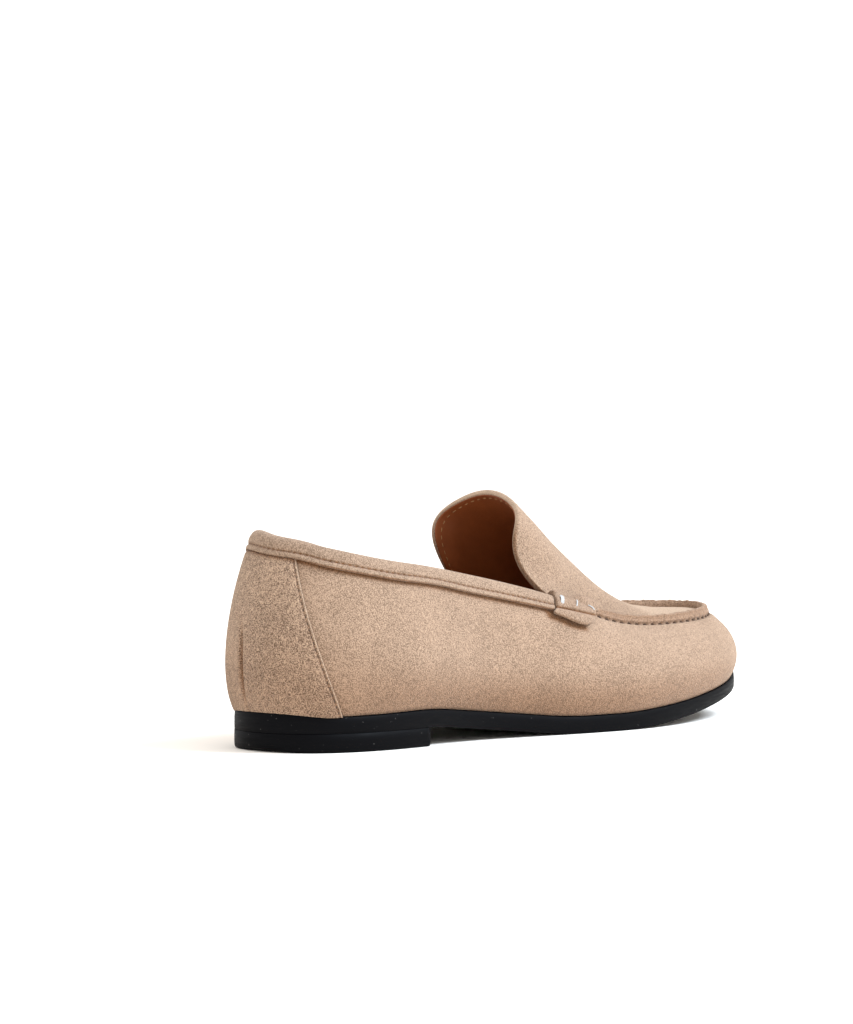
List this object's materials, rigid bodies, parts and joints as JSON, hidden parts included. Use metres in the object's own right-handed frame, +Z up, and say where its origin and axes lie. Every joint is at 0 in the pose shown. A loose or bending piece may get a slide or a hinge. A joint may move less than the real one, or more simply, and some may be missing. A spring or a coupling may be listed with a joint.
{
  "type": "suede loafer",
  "caption": "Right-foot slip-on suede loafer: hollow lasted upper with raised moccasin seam, standing tongue, bound collar and heel counter on a thin sole with a low heel.",
  "frame": {"origin": "on the floor, under the middle of the shoe's footprint", "axes": "+X towards the toe, +Y towards the inner side of the foot, +Z up"},
  "size_m": [0.2668, 0.088, 0.0915],
  "materials": {
    "suede": "brushed suede nap",
    "suede_trim": "brushed suede nap",
    "sock": "smooth lining leather",
    "sole": "semi-matte, dyed edge",
    "heel_block": "semi-matte, dyed edge"
  },
  "bodies": {
    "root": {"upper": "suede", "apron_tongue": "suede", "counter": "suede", "collar_strip": "suede_trim", "side_tab_lateral": "suede_trim", "side_tab_medial": "suede_trim", "insole": "sock", "outsole": "sole", "heel": "heel_block"}
  },
  "joints": []
}
